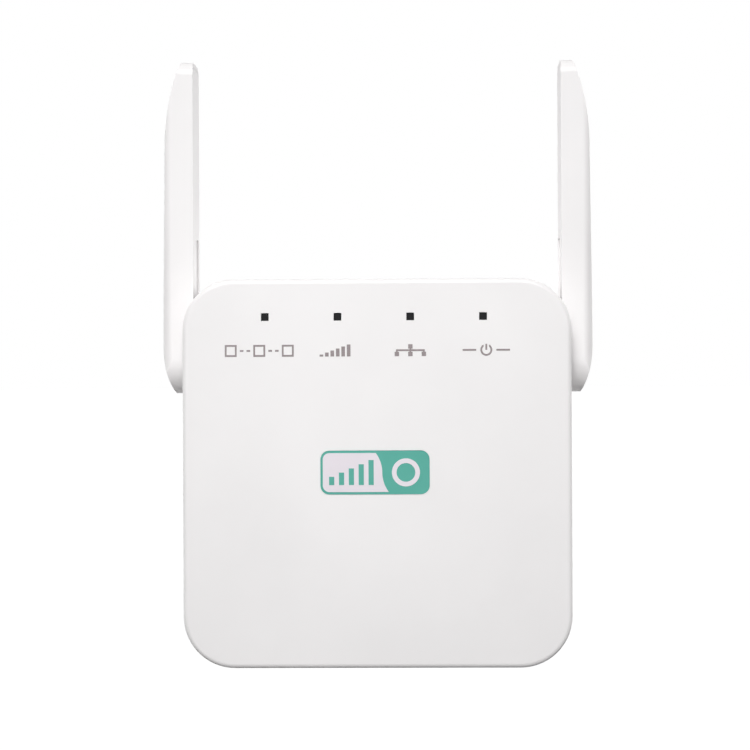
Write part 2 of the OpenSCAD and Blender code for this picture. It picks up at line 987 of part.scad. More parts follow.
module button_switch() {
    bore_top_z = plunger_z + plunger_len + button_travel + 2 * plunger_fit;
    color("silver") {
        difference() {
            box_at(button_x, main_back_y, switch_z + switch_h / 2, switch_w, switch_d, switch_h);
            rod_z(button_x, button_y, switch_z - cut, plunger_r + plunger_fit, bore_top_z - switch_z + cut);
        }
    }
}

// ---- aerial cables ----

module at_coax_sockets() {
    for (x = [-coax_x, coax_x]) translate([x, 0, 0]) children();
}

module coax_sockets() {
    color("gold") at_coax_sockets() rod_y(0, main_back_y, coax_z, coax_socket_r, coax_socket_t);
}

module coax_plugs() {
    color("silver") {
        at_coax_sockets() rod_y(0, main_back_y + coax_socket_t, coax_z, coax_plug_r, coax_plug_t);
    }
}

// Quarter turn of an aerial cable around the point that it bends about
module coax_bend(x, y, z, turn) {
    translate([x, y, z]) rotate(turn) rotate_extrude(angle = 90) translate([coax_bend_r, 0]) circle(coax_r);
}

// Straight run of an aerial cable between two places on x
module coax_across(x1, x2, y, z) rod_x(min(x1, x2), y, z, coax_r, abs(x2 - x1));

// From the plug past the screw column to the end of the hinge stub
module coax_lead(side) {
    start_x = side * (coax_x + coax_plug_r);
    riser_x = side * (stub_end_x - coax_run);
    in_x = riser_x - side * coax_bend_r;
    out_x = riser_x + side * coax_bend_r;
    low_turn = side == RIGHT ? -90 : 180;
    top_turn = side == RIGHT ? -90 : 0;
    color("darkgray") {
        coax_across(start_x, in_x, coax_y, coax_z);
        coax_bend(in_x, coax_y + coax_bend_r, coax_z, [0, 0, low_turn]);
        rod_y(riser_x, coax_y + coax_bend_r, coax_z, coax_r, hinge_y - coax_y - 2 * coax_bend_r);
        coax_bend(riser_x, hinge_y - coax_bend_r, coax_z + coax_bend_r, [0, 90, 0]);
        rod_z(riser_x, hinge_y, coax_z + coax_bend_r, coax_r, hinge_z - coax_z - 2 * coax_bend_r);
        coax_bend(out_x, hinge_y, hinge_z - coax_bend_r, [90, top_turn, 0]);
        coax_across(out_x, side * stub_end_x, hinge_y, hinge_z);
    }
}

module coax_tail(side) {
    riser_x = side * element_mid_x;
    in_x = riser_x - side * coax_bend_r;
    tail_turn = side == RIGHT ? 0 : 90;
    color("darkgray") {
        coax_across(side * stub_end_x, in_x, hinge_y, hinge_z);
        coax_bend(in_x, hinge_y, hinge_z + coax_bend_r, [-90, tail_turn, 0]);
        rod_z(riser_x, hinge_y, hinge_z + coax_bend_r, coax_r, element_low_z - hinge_z - coax_bend_r);
    }
}

// ---- antennas ----

// Outline from the side, in y and z around the hinge axis
module antenna_side(inset) {
    half = antenna_w / 2 - inset;
    top = antenna_reach - inset;
    round_r = antenna_tip_r - inset / 2;
    circle(half);
    translate([-half, 0]) square([2 * half, top - round_r]);
    translate([round_r - half, 0]) square([2 * (half - round_r), top]);
    for (y = [-1, 1]) translate([y * (half - round_r), top - round_r]) circle(round_r);
}

// Outline from the front, in x and z: the outer face bends in at the toe and at the tip
module antenna_front() {
    polygon([[lid_x, toe_z], [outer_x, toe_z], [outer_x - antenna_draft, tip_z], [lid_x, tip_z]]);
    intersection() {
        translate([lid_x, tip_z]) square([antenna_t, tip_len]);
        translate([outer_x - antenna_draft - tip_arc_r, tip_z]) circle(tip_arc_r);
    }
    intersection() {
        translate([lid_x, antenna_low_z]) square([antenna_t, toe_len]);
        translate([outer_x - toe_arc_r, toe_z]) circle(toe_arc_r);
    }
}

// Section from above, in x and y: the two outer edges are rounded
module antenna_section() {
    half = antenna_w / 2;
    translate([lid_x, -half]) square([antenna_t - antenna_edge_r, antenna_w]);
    translate([lid_x, antenna_edge_r - half]) square([antenna_t, antenna_w - 2 * antenna_edge_r]);
    for (y = [-1, 1]) {
        translate([outer_x - antenna_edge_r, y * (half - antenna_edge_r)]) circle(antenna_edge_r);
    }
}

module antenna_post(x, len) {
    for (z = [element_low_z + post_top, cavity_top_z - post_low]) rod_x(x, hinge_y, z, post_r, len);
}

module antenna_shell(side) {
    room_w = antenna_w - 2 * shell_side;
    post_x = element_x + element_t;
    color("white") {
        sided(side) {
            difference() {
                intersection() {
                    slab_x(lid_x, antenna_t) antenna_side(0);
                    slab_y(hinge_y - antenna_w / 2, antenna_w) antenna_front();
                    translate([0, hinge_y, antenna_low_z]) {
                        linear_extrude(antenna_top_z - antenna_low_z) antenna_section();
                    }
                }
                slab_x(lid_x - cut, lid_t + cut) antenna_side(lid_rim);
                translate([lid_inner_x - cut, hinge_y - room_w / 2, hinge_z + shoulder_r / 2]) {
                    cube([outer_x - shell_face - lid_inner_x + cut, room_w,
                        cavity_top_z - hinge_z - shoulder_r / 2]);
                }
                rod_x(lid_inner_x - cut, hinge_y, hinge_z, room_w / 2, shell_toe_depth + cut);
                translate([lid_inner_x - cut, hinge_y - room_w / 2, hinge_z]) {
                    cube([shell_toe_depth + cut, room_w, shoulder_r]);
                }
            }
            antenna_post(post_x, outer_x - shell_face - post_x);
        }
    }
}

module antenna_lid(side) {
    pocket_w = antenna_w / 2 - lid_rim - lid_fit - 2 * pocket_side_in;
    color("white") {
        sided(side) {
            difference() {
                union() {
                    slab_x(lid_x, lid_t) antenna_side(lid_rim + lid_fit);
                    rod_x(rear_w / 2 + hinge_play, hinge_y, hinge_z, shoulder_r, antenna_gap);
                    rod_x(stub_end_x, hinge_y, hinge_z, stub_r, lid_inner_x - stub_end_x);
                    antenna_post(lid_inner_x, post_len);
                }
                rod_x(stub_end_x - cut, hinge_y, hinge_z, stub_bore_r, lid_inner_x - stub_end_x + 2 * cut);
                difference() {
                    rod_x(groove_x, hinge_y, hinge_z, stub_r + cut, ring_x - groove_x);
                    rod_x(groove_x - cut, hinge_y, hinge_z, groove_r, ring_x - groove_x + 2 * cut);
                }
                translate([lid_x - cut, hinge_y + pocket_side_in, hinge_z + pocket_low]) {
                    cube([pocket_depth + cut, pocket_w, pocket_high - pocket_low]);
                }
            }
        }
    }
}

module antenna_element(side) {
    element_w = antenna_w - 2 * (shell_side + element_side_room);
    color("goldenrod") {
        sided(side) {
            translate([element_x, hinge_y - element_w / 2, element_low_z]) {
                cube([element_t, element_w, cavity_top_z - element_top_room - element_low_z]);
            }
        }
    }
}

module hinge_clip(side) {
    color("silver") {
        sided(side) {
            difference() {
                rod_x(clip_x, hinge_y, hinge_z, clip_r, clip_t);
                rod_x(clip_x - cut, hinge_y, hinge_z, groove_r + clip_fit, clip_t + 2 * cut);
                translate([clip_x - cut, hinge_y - clip_mouth / 2, hinge_z - clip_r - cut]) {
                    cube([clip_t + 2 * cut, clip_mouth, clip_r + cut]);
                }
            }
        }
    }
}

module hinge_rings() {
    color("dimgray") {
        for (side = [LEFT, RIGHT]) sided(side) {
            difference() {
                rod_x(ring_x, hinge_y, hinge_z, ring_r, ring_t);
                rod_x(ring_x - cut, hinge_y, hinge_z, stub_r + stub_fit, ring_t + 2 * cut);
            }
        }
    }
}

// ---- power supply ----

module insulating_sheet() {
    low_z = power_low_z - sheet_room;
    color("ivory") {
        difference() {
            translate([-power_w / 2, main_back_y, low_z]) cube([power_w, sheet_t, power_top_z - low_z]);
            box_at(header_x, main_back_y - cut, header_z, header_w + sheet_slot_room, sheet_t + 2 * cut,
                header_pin + sheet_slot_room);
        }
    }
}

module power_board() {
    color("tan") {
        difference() {
            translate([-power_w / 2, power_front_y, power_low_z]) {
                cube([power_w, power_t, power_top_z - power_low_z]);
            }
            at_power_posts() rod_y(0, power_front_y - cut, 0, board_hole_r, power_t + 2 * cut);
            at_header_pins() rod_y(0, power_front_y - cut, 0, header_hole_r, power_t + 2 * cut);
            at_pins() rod_y(0, power_front_y - cut, 0, pin_tail_r + pin_tail_fit, power_t + 2 * cut);
        }
    }
}

module transformer_core() {
    window_w = (trafo_w - trafo_leg) / 2 - trafo_side_leg;
    color("dimgray") {
        difference() {
            box_at(trafo_x, trafo_y - trafo_core_t / 2, trafo_z, trafo_w, trafo_core_t, trafo_h);
            for (side = [LEFT, RIGHT]) {
                box_at(trafo_x + side * (trafo_leg + window_w) / 2, trafo_y - trafo_core_t, trafo_z,
                    window_w, 2 * trafo_core_t, trafo_window_h);
            }
        }
    }
}

module transformer_bobbin() {
    hole_w = trafo_leg + 2 * trafo_fit;
    hole_d = trafo_core_t + 2 * trafo_fit;
    tube_w = hole_w + 2 * trafo_bobbin_wall;
    tube_d = hole_d + 2 * trafo_bobbin_wall;
    flange_span = trafo_w - 2 * trafo_side_leg - 2 * trafo_fit;
    bobbin_h = trafo_window_h - 2 * trafo_fit;
    color("black") {
        difference() {
            union() {
                box_at(trafo_x, trafo_y - tube_d / 2, trafo_z, tube_w, tube_d, bobbin_h);
                for (end = [-1, 1]) {
                    box_at(trafo_x, trafo_y - trafo_bobbin_d / 2,
                        trafo_z + end * (bobbin_h - trafo_flange_t) / 2,
                        flange_span, trafo_bobbin_d, trafo_flange_t);
                }
            }
            box_at(trafo_x, trafo_y - hole_d / 2, trafo_z, hole_w, hole_d, bobbin_h + cut);
        }
    }
}

module transformer_winding() {
    tube_w = trafo_leg + 2 * (trafo_fit + trafo_bobbin_wall);
    tube_d = trafo_core_t + 2 * (trafo_fit + trafo_bobbin_wall);
    wind_h = trafo_window_h - 2 * (trafo_fit + trafo_flange_t);
    color("gold") {
        translate([trafo_x, trafo_y, trafo_z - wind_h / 2]) {
            linear_extrude(wind_h) {
                difference() {
                    rounded_rect(trafo_wind_w, trafo_wind_d, trafo_wind_r);
                    square([tube_w, tube_d], center = true);
                }
            }
        }
    }
}

// Can with its free end rounded, standing on the front of the power board
module can_on_board(x, z, r, len) {
    translate([x, power_front_y, z]) rotate([90, 0, 0]) {
        rotate_extrude() round_top_section(r, len, big_cap_edge_r);
    }
}

module input_capacitors() {
    color("darkslategray") {
        for (i = [0, 1]) {
            can_on_board(-(power_w / 2 - big_cap_side_in), power_top_z - big_cap_top_in - i * big_cap_pitch,
                big_cap_r, big_cap_len);
        }
    }
}

module output_capacitor() {
    color("darkslategray") {
        can_on_board(power_w / 2 - out_cap_side_in, power_top_z - out_cap_top_in, big_cap_r, out_cap_len);
    }
}

module choke_coil() {
    x = -(power_w / 2 - big_cap_side_in);
    color("saddlebrown") {
        rod_y(x, power_front_y - choke_len, choke_z, choke_waist_r, choke_len);
        for (y = [power_front_y - choke_len, power_front_y - choke_end]) {
            rod_y(x, y, choke_z, choke_r, choke_end);
        }
    }
}

// Round part lying on the power board, with a bent lead at each end
module axial_part(x, z, r, length) {
    y = power_front_y - r;
    rod_x(x - length / 2, y, z, r, length);
    for (end = [-1, 1]) {
        wire([[x + end * (length / 2 - lead_r), y, z], [x + end * (length / 2 + lead_out), y, z],
            [x + end * (length / 2 + lead_out), power_front_y, z]], lead_r);
    }
}

module fuse_resistor() {
    color("cadetblue") axial_part(fuse_x, fuse_z, fuse_r, fuse_len);
}

module output_diode() {
    color("black") axial_part(power_w / 2 - driver_side_in, diode_z, diode_r, diode_len);
}

module bridge_rectifier() {
    color("black") {
        box_at(-(power_w / 2 - big_cap_side_in), power_front_y - rectifier_t, rectifier_z, rectifier_w,
            rectifier_t, rectifier_h);
    }
}

module driver_chip() {
    color("black") {
        box_at(power_w / 2 - driver_side_in, power_front_y - driver_t, driver_z,
            driver_w, driver_t, driver_h);
    }
}

module safety_capacitor() {
    disc_y = power_front_y - safety_lift - safety_r;
    color("steelblue") {
        rod_x(safety_x - safety_t / 2, disc_y, safety_z, safety_r, safety_t);
        for (z = [-1, 1]) {
            rod_y(safety_x, disc_y, safety_z + z * safety_r / 2, lead_r, power_front_y - disc_y);
        }
    }
}

module at_header_pins() {
    for (i = [0 : header_count - 1]) {
        translate([header_x + row(i, header_count, header_pitch), 0, header_z]) children();
    }
}

module header_block() {
    color("black") {
        difference() {
            box_at(header_x, power_front_y - header_size, header_z, header_w, header_size, header_size);
            at_header_pins() {
                box_at(0, power_front_y - header_size - cut, 0, header_pin, header_size + 2 * cut,
                    header_pin);
            }
        }
    }
}

module header_pins() {
    start_y = main_front_y - header_tail;
    end_y = power_back_y + header_tail;
    color("gold") at_header_pins() box_at(0, start_y, 0, header_pin, end_y - start_y, header_pin);
}

// ---- mains plug ----

module plug_block() {
    hollow_w = neck_w - 2 * neck_wall;
    hollow_h = neck_h - 2 * neck_wall;
    color("white") {
        difference() {
            union() {
                slab_y(power_back_y, -power_back_y) stadium(neck_w, neck_h);
                slab_y(power_back_y, power_gap) stadium(flange_w, flange_h);
            }
            difference() {
                slab_y(power_back_y - cut, -power_back_y - neck_face + cut) stadium(hollow_w, hollow_h);
                at_pins() rod_y(0, power_back_y - 2 * cut, 0, tower_r, -power_back_y + cut);
            }
            at_pins() {
                rod_y(0, power_back_y - cut, 0, pin_core_r, -power_back_y + 2 * cut);
                rod_y(0, -sleeve_seat, 0, sleeve_r, sleeve_seat + cut);
            }
        }
    }
}

module plug_pins() {
    tip_y = pin_len - pin_tip_round;
    tail_y = power_front_y - pin_tail_out;
    color("silver") {
        at_pins() {
            rod_y(0, power_back_y, 0, pin_core_r, sleeve_len - power_back_y);
            rod_y(0, tail_y, 0, pin_tail_r, power_back_y - tail_y);
            rod_y(0, sleeve_len, 0, pin_r, tip_y - sleeve_len);
            translate([0, tip_y, 0]) rotate([-90, 0, 0]) {
                rotate_extrude() {
                    intersection() {
                        union() {
                            square([pin_r - pin_tip_round, pin_tip_round]);
                            translate([pin_r - pin_tip_round, 0]) circle(pin_tip_round);
                        }
                        square([pin_r, pin_tip_round]);
                    }
                }
            }
        }
    }
}

module pin_sleeves() {
    color("dimgray") {
        at_pins() {
            difference() {
                rod_y(0, -sleeve_seat, 0, sleeve_r, sleeve_len + sleeve_seat);
                rod_y(0, -sleeve_seat - cut, 0, pin_core_r, sleeve_len + sleeve_seat + 2 * cut);
            }
        }
    }
}

// ---- fasteners and rating label ----

module board_screws() {
    color("silver") {
        at_power_posts() {
            rod_y(0, power_front_y - board_head_h, 0, board_head_r, board_head_h);
            rod_y(0, power_front_y, 0, board_screw_r, board_screw_len);
        }
    }
}

module case_screws() {
    tip_y = front_inner_y + boss_blind + screw_room;
    color("silver") {
        at_case_screws() {
            rod_y(0, head_seat_y, 0, case_head_r, case_head_h);
            rod_y(0, tip_y, 0, case_screw_r, head_seat_y - tip_y);
        }
    }
}

module rating_label() {
    color("lightgray") box_at(0, rear_y, label_plate_in - rear_h / 2, label_w, label_plate_t,
        label_plate_h);
}

front_cover();
rear_cover();
light_guide();
light_baffle();
status_leds();
status_labels();
badge_plate();
badge_panel();
badge_bars();
main_board();
shield_can();
radio_chip();
memory_chips();
crystal_can();
chip_capacitors();
lan_transformer();
network_shell();
network_insert();
network_contacts();
button_cap();
button_plunger();
button_switch();
coax_sockets();
coax_plugs();
coax_lead(LEFT);  // left_coax_lead
coax_lead(RIGHT);  // right_coax_lead
hinge_rings();
antenna_shell(LEFT);  // left_antenna_shell
antenna_lid(LEFT);  // left_antenna_lid
antenna_element(LEFT);  // left_antenna_element
coax_tail(LEFT);  // left_coax_tail
hinge_clip(LEFT);  // left_hinge_clip
antenna_shell(RIGHT);  // right_antenna_shell
antenna_lid(RIGHT);  // right_antenna_lid
antenna_element(RIGHT);  // right_antenna_element
coax_tail(RIGHT);  // right_coax_tail
hinge_clip(RIGHT);  // right_hinge_clip
insulating_sheet();
power_board();
transformer_core();
transformer_bobbin();
transformer_winding();
input_capacitors();
output_capacitor();
choke_coil();
fuse_resistor();
bridge_rectifier();
driver_chip();
safety_capacitor();
output_diode();
header_block();
header_pins();
plug_block();
plug_pins();
pin_sleeves();
board_screws();
case_screws();
rating_label();
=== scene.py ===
import bmesh
import bpy
import json
import math
from mathutils import Matrix, Vector


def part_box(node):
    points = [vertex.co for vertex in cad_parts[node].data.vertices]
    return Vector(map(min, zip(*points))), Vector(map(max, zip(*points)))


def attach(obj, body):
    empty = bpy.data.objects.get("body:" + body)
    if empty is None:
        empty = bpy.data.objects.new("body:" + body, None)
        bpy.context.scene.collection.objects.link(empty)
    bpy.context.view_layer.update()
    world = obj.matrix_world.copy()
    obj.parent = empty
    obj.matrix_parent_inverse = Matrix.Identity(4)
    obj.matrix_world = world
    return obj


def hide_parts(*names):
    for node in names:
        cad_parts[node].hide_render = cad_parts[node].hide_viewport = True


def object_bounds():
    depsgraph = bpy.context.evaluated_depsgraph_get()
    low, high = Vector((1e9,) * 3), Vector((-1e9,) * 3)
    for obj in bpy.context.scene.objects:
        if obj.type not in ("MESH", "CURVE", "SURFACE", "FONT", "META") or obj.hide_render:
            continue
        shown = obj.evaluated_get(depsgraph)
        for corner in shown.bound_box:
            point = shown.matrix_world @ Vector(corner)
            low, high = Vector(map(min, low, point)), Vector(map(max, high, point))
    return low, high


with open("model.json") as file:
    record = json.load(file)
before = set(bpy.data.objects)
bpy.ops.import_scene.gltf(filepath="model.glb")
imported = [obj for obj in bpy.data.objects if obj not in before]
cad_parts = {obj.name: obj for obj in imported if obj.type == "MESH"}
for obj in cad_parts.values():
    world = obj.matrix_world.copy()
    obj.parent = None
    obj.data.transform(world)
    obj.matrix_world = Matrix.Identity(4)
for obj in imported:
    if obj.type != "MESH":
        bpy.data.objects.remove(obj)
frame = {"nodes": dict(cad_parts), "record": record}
nodes = frame["nodes"]
record = frame["record"]
cadLow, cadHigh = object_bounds()
mm = 0.001  # sizes in the settings are in millimetres, and angles in degrees
scene = bpy.context.scene


def linear(hexText):
    # sRGB hex to the linear colour that the shaders take
    channels = [int(hexText[i:i + 2], 16) / 255 for i in (1, 3, 5)]
    curve = [c / 12.92 if c <= 0.04045 else ((c + 0.055) / 1.055) ** 2.4 for c in channels]
    return curve + [1.0]


def addNode(tree, kind, inputs=None, **settings):
    # one node with its settings; an input is a plain value or another node's socket
    node = tree.nodes.new(kind)
    for key, value in settings.items():
        setattr(node, key, value)
    for key, value in (inputs or {}).items():
        if isinstance(value, bpy.types.NodeSocket):
            tree.links.new(value, node.inputs[key])
        else:
            node.inputs[key].default_value = value
    return node


def newMaterial(name, surface, stretch=(1, 1, 1)):
    # shader, output and the piece's own coordinates, stretched along a drawn or turned finish
    material = bpy.data.materials.new(name)
    material.use_nodes = True
    tree = material.node_tree
    tree.nodes.clear()
    shader = addNode(tree, "ShaderNodeBsdfPrincipled", surface)
    addNode(tree, "ShaderNodeOutputMaterial", {"Surface": shader.outputs["BSDF"]})
    coords = addNode(tree, "ShaderNodeTexCoord").outputs["Object"]
    coords = addNode(tree, "ShaderNodeMapping", {"Vector": coords, "Scale": stretch}).outputs[0]
    return material, tree, shader, coords


# the noise behind every finish: most of its values lie between low and high
finishNoise = {"detail": 3.0, "low": 0.3, "high": 0.7, "grainRoughness": 0.6, "glossSwing": 0.12}


def mottle(tree, coords, look):
    # two near shades in soft blotches, as pigment and thickness vary
    blotch = addNode(tree, "ShaderNodeTexNoise",
                     {"Vector": coords, "Scale": 1 / (look["blotch"] * mm),
                      "Detail": finishNoise["detail"]})
    share = addNode(tree, "ShaderNodeMapRange",
                    {"Value": blotch.outputs["Fac"], "From Min": finishNoise["low"],
                     "From Max": finishNoise["high"]})
    return addNode(tree, "ShaderNodeMix",
                   {"Factor": share.outputs[0], "A": linear(look["colour"]),
                    "B": linear(look["shade"])}, data_type="RGBA").outputs["Result"]


def surfaceGrain(tree, shader, coords, look):
    # one fine grain gives the surface both its uneven gloss and its relief
    grain = addNode(tree, "ShaderNodeTexNoise",
                    {"Vector": coords, "Scale": 1 / (look["grain"] * mm),
                     "Detail": finishNoise["detail"],
                     "Roughness": finishNoise["grainRoughness"]}).outputs["Fac"]
    swing = finishNoise["glossSwing"]
    gloss = addNode(tree, "ShaderNodeMapRange",
                    {"Value": grain, "From Min": finishNoise["low"], "From Max": finishNoise["high"],
                     "To Min": look["roughness"] * (1 - swing),
                     "To Max": look["roughness"] * (1 + swing)})
    tree.links.new(gloss.outputs[0], shader.inputs["Roughness"])
    bump = addNode(tree, "ShaderNodeBump",
                   {"Height": grain, "Strength": look["reliefShare"], "Distance": look["relief"] * mm})
    tree.links.new(bump.outputs["Normal"], shader.inputs["Normal"])


def grainedFinish(name, look, stretch=(1, 1, 1), **surface):
    # any finish that is one mottled colour with a grain
    material, tree, shader, coords = newMaterial(name, surface, stretch)
    tree.links.new(mottle(tree, coords, look), shader.inputs["Base Color"])
    surfaceGrain(tree, shader, coords, look)
    return material


# how near two points are merged, in a copy of a CAD node and in a piece made here,
# and the angle past which an edge stays sharp
meshCare = {"copyWeld": 0.0001, "madeWeld": 0.001, "sharpDegrees": 35}


def looseBoxes(name):
    # lowest and highest corner of each separate solid of a node
    mesh = bmesh.new()
    mesh.from_mesh(nodes[name].data)
    bmesh.ops.remove_doubles(mesh, verts=mesh.verts, dist=meshCare["copyWeld"] * mm)
    waiting, boxes = set(mesh.verts), []
    while waiting:
        group, reached = [], [waiting.pop()]
        while reached:
            vertex = reached.pop()
            group.append(vertex.co.copy())
            for edge in vertex.link_edges:
                other = edge.other_vert(vertex)
                if other in waiting:
                    waiting.remove(other)
                    reached.append(other)
        boxes.append((Vector([min(p[i] for p in group) for i in range(3)]),
                      Vector([max(p[i] for p in group) for i in range(3)])))
    mesh.free()
    return sorted(boxes, key=lambda box: (round(box[0].x, 5), round(box[0].z, 5)))


# the camera looks level at the front cover, from a little to the right of its middle
camera = {
    "distance": 460, "asideDegrees": 1.29, "rollDegrees": -0.26, "frameWidth": 144.3,
    "middleX": -0.32, "middleZ": 18.95, "nearest": 10, "farthest": 50000,
}
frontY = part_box("front_cover")[0].y
aim = Vector((camera["middleX"] * mm, frontY, camera["middleZ"] * mm))
aside = math.radians(camera["asideDegrees"])
away = Vector((math.sin(aside), -math.cos(aside), 0)) * camera["distance"] * mm
cameraData = bpy.data.cameras.new("productCamera")
cameraData.lens = cameraData.sensor_width * camera["distance"] / camera["frameWidth"]
cameraData.clip_start = camera["nearest"] * mm
cameraData.clip_end = camera["farthest"] * mm
cameraObject = bpy.data.objects.new("productCamera", cameraData)
scene.collection.objects.link(cameraObject)
cameraObject.location = aim + away
turn = (-away).to_track_quat("-Z", "Y").to_matrix() @ Matrix.Rotation(
    math.radians(camera["rollDegrees"]), 3, "Z")
cameraObject.rotation_euler = turn.to_euler()
scene.camera = cameraObject
print("camera: %.1f mm lens" % cameraData.lens)


# Moulded ABS with a spark-eroded texture: an even warm white with soft, broken highlights.
# The texture is really about 0.08 mm across and is drawn at 0.3 mm so that it shows.
caseAbs = grainedFinish(
    "mouldedAbsWhite",
    {"colour": "#F4F2F2", "shade": "#F0EEEE", "blotch": 22, "grain": 0.3, "roughness": 0.44,
     "relief": 0.012, "reliefShare": 0.3},
    IOR=1.54)

# Smoked polycarbonate guide, left matt at its end: near black, with hardly a reflection.
smokedGuide = grainedFinish(
    "mouldedPolycarbonateSmoked",
    {"colour": "#19191B", "shade": "#131315", "blotch": 0.8, "grain": 0.25, "roughness": 0.3,
     "relief": 0.004, "reliefShare": 0.3},
    IOR=1.585, **{"Specular IOR Level": 0.12})

# Black ABS that has to hide light: matte, with a coarse mould texture.
blackAbs = grainedFinish(
    "mouldedAbsBlack",
    {"colour": "#1E1E1F", "shade": "#262627", "blotch": 3, "grain": 0.3, "roughness": 0.6,
     "relief": 0.02, "reliefShare": 0.4},
    IOR=1.54)

# Glass-filled nylon: dark grey with pale fibre flecks drawn out along the flow.
greyNylon = grainedFinish(
    "mouldedNylonGrey",
    {"colour": "#46474A", "shade": "#55575A", "blotch": 0.5, "grain": 0.2, "roughness": 0.5,
     "relief": 0.015, "reliefShare": 0.4},
    stretch=(1, 0.35, 1), IOR=1.53)

# Screen-printed ink: flat grey, a little thinner where the mesh leaves it.
# The mesh is really 0.08 mm and is drawn at 0.2 mm.
greyInk = grainedFinish(
    "screenPrintedInkGrey",
    {"colour": "#8A8081", "shade": "#978D8E", "blotch": 0.4, "grain": 0.2, "roughness": 0.55,
     "relief": 0.004, "reliefShare": 0.4},
    IOR=1.5)

# Badge films, printed on the back and glossy on the front: clean colour under a clear coat.
badgeFilms = {
    "teal_film": {"name": "printedFilmTeal", "colour": "#50AB9C", "shade": "#4BA697"},
    "pale_film": {"name": "printedFilmPale", "colour": "#EBE4EB", "shade": "#E7E0E7"},
}
filmLook = {"blotch": 5, "grain": 0.6, "roughness": 0.32, "relief": 0.004, "reliefShare": 0.25}
badgeMaterials = {
    slot: grainedFinish(look["name"], {**look, **filmLook}, IOR=1.49,
                        **{"Coat Weight": 0.35, "Coat Roughness": 0.12})
    for slot, look in badgeFilms.items()
}

# Silicone friction ring: matte black with a faint bloom.
siliconeRing = grainedFinish(
    "mouldedSiliconeBlack",
    {"colour": "#2A2A2B", "shade": "#343435", "blotch": 0.9, "grain": 0.3, "roughness": 0.72,
     "relief": 0.01, "reliefShare": 0.4},
    IOR=1.42)

# Blank rating label, satin polyester film: plain silver grey with a thin printed border.
labelLook = {"colour": "#C9C9CB", "shade": "#C3C3C6", "blotch": 6, "grain": 0.3, "roughness": 0.38,
             "relief": 0.004, "reliefShare": 0.3, "border": "#8B8B8F", "inset": 1.0, "line": 0.3}


def polyesterLabel(look):
    # the border is a thin line at one distance in from the label's edge, all the way round
    material, tree, shader, coords = newMaterial("polyesterLabelSatin", {"IOR": 1.64})
    surfaceGrain(tree, shader, coords, look)
    low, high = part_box("rating_label")
    middle, half = (low + high) / 2, (high - low) / 2
    place = addNode(tree, "ShaderNodeSeparateXYZ", {"Vector": coords})
    reaches = []
    for axis in ("X", "Z"):
        fromMiddle = addNode(tree, "ShaderNodeMath",
                             {0: place.outputs[axis], 1: getattr(middle, axis.lower())},
                             operation="SUBTRACT")
        size = addNode(tree, "ShaderNodeMath", {0: fromMiddle.outputs[0]}, operation="ABSOLUTE")
        reaches.append(addNode(tree, "ShaderNodeMath",
                               {0: getattr(half, axis.lower()), 1: size.outputs[0]},
                               operation="SUBTRACT").outputs[0])
    fromEdge = addNode(tree, "ShaderNodeMath", {0: reaches[0], 1: reaches[1]}, operation="MINIMUM")
    border = addNode(tree, "ShaderNodeMath",
                     {0: fromEdge.outputs[0], 1: look["inset"] * mm, 2: look["line"] / 2 * mm},
                     operation="COMPARE")
    colour = addNode(tree, "ShaderNodeMix",
                     {"Factor": border.outputs[0], "A": mottle(tree, coords, look),
                      "B": linear(look["border"])}, data_type="RGBA")
    tree.links.new(colour.outputs["Result"], shader.inputs["Base Color"])
    return material


labelFilm = polyesterLabel(labelLook)

# Tin over cold-rolled steel: soft grey with rolling lines along the strip.
tinnedSteel = grainedFinish(
    "tinnedSteelRolled",
    {"colour": "#C8C9C9", "shade": "#B9BABB", "blotch": 2.4, "grain": 0.25, "roughness": 0.34,
     "relief": 0.004, "reliefShare": 0.4},
    stretch=(0.12, 1, 1), Metallic=1.0)

# Nickel over turned brass: bright, slightly warm, with turning rings square to the pin.
# The tool's feed is really 0.05 mm and is drawn at 0.2 mm.
nickelBrass = grainedFinish(
    "nickelPlatedBrassTurned",
    {"colour": "#D2CFC9", "shade": "#C4C0BA", "blotch": 1.5, "grain": 0.2, "roughness": 0.24,
     "relief": 0.004, "reliefShare": 0.35},
    stretch=(0.2, 1, 0.2), Metallic=1.0)

# Flash gold over nickel: warm yellow, smooth.
goldPlate = grainedFinish(
    "goldPlatedContact",
    {"colour": "#E6C06A", "shade": "#D9B05A", "blotch": 0.8, "grain": 0.15, "roughness": 0.22,
     "relief": 0.002, "reliefShare": 0.3},
    Metallic=1.0)

# Epoxy LED lens over its phosphor: milky yellow-green, and it lets some light through.
ledEpoxy = grainedFinish(
    "castEpoxyLens",
    {"colour": "#DDE6B8", "shade": "#C9DE9A", "blotch": 0.5, "grain": 0.3, "roughness": 0.2,
     "relief": 0.003, "reliefShare": 0.3},
    IOR=1.52, **{"Transmission Weight": 0.3})

# Solder mask: glossy green lacquer over copper tracks, which show a little lighter.
boardLook = {"colour": "#17603A", "shade": "#135433", "trackColour": "#257A4B", "blotch": 5,
             "grain": 0.25, "roughness": 0.3, "relief": 0.01, "reliefShare": 0.3,
             "patch": 7, "patchShift": 0.8, "acrossShare": 0.5, "bareShare": 0.4,
             "trackPitch": 0.8, "trackShare": 0.3}


